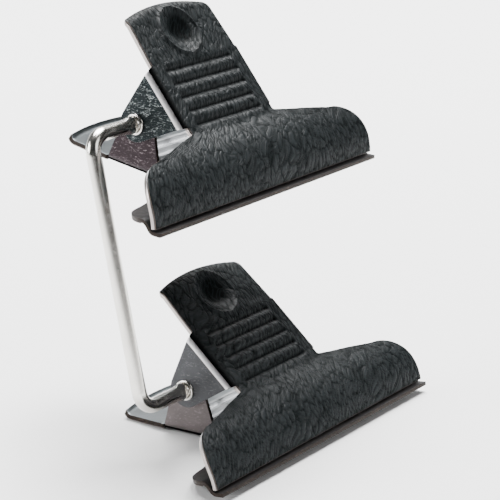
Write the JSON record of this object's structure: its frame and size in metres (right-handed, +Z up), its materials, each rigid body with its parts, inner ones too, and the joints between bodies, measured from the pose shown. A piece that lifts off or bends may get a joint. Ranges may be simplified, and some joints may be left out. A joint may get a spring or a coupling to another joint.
{
  "type": "twin spring clip",
  "caption": "Twin spring clip: wide leatherette-covered jaw clips with thumb handles, swivelling on the legs of a bent steel rod to join or hang panels, cards and cloth.",
  "frame": {"origin": "centre of the bounding box's bottom, on the surface that the lower clip stands on", "axes": "+Z up, +X along both pivots away from the rod's long side, lips towards -Y and handles towards +Y"},
  "size_m": [0.1, 0.0788, 0.1159],
  "materials": {
    "pressed_steel": "satin pressed sheet",
    "black_leatherette": "grained vinyl, soft sheen",
    "spring_steel": "drawn wire",
    "eyelet_zinc": "bright zinc plate",
    "rod_zinc": "bright zinc plate"
  },
  "bodies": {
    "lower_clip": {"lower_clip_bottom_plate": "pressed_steel", "lower_clip_bottom_leatherette": "black_leatherette", "lower_clip_left_eyelet": "eyelet_zinc", "lower_clip_right_eyelet": "eyelet_zinc", "lower_clip_torsion_spring": "spring_steel"},
    "lower_jaw": {"lower_clip_top_plate": "pressed_steel", "lower_clip_top_leatherette": "black_leatherette"},
    "rod": {"link_rod": "rod_zinc"},
    "upper_clip": {"upper_clip_bottom_plate": "pressed_steel", "upper_clip_bottom_leatherette": "black_leatherette", "upper_clip_left_eyelet": "eyelet_zinc", "upper_clip_right_eyelet": "eyelet_zinc", "upper_clip_torsion_spring": "spring_steel"},
    "upper_jaw": {"upper_clip_top_plate": "pressed_steel", "upper_clip_top_leatherette": "black_leatherette"}
  },
  "joints": [
    {"name": "lower_swivel", "type": "hinge", "parent": "lower_clip", "child": "rod", "pos_m": [0, -0.00473, 0.01452], "axis": [1, 0, 0], "range_deg": [-200, 40]},
    {"name": "lower_jaw_hinge", "type": "hinge", "parent": "lower_clip", "child": "lower_jaw", "pos_m": [0, -0.00473, 0.01452], "axis": [-1, 0, 0], "range_deg": [0, 45], "stiffness_Nm_per_rad": 0.29, "springref_deg": -72.77, "deforming": ["lower_clip_torsion_spring"]},
    {"name": "upper_swivel", "type": "hinge", "parent": "rod", "child": "upper_clip", "pos_m": [0, 0.01066, 0.0869], "axis": [1, 0, 0], "range_deg": [-230, 12]},
    {"name": "upper_jaw_hinge", "type": "hinge", "parent": "upper_clip", "child": "upper_jaw", "pos_m": [0, 0.01066, 0.0869], "axis": [-1, 0, 0], "range_deg": [0, 45], "stiffness_Nm_per_rad": 0.29, "springref_deg": -72.77, "deforming": ["upper_clip_torsion_spring"]}
  ]
}
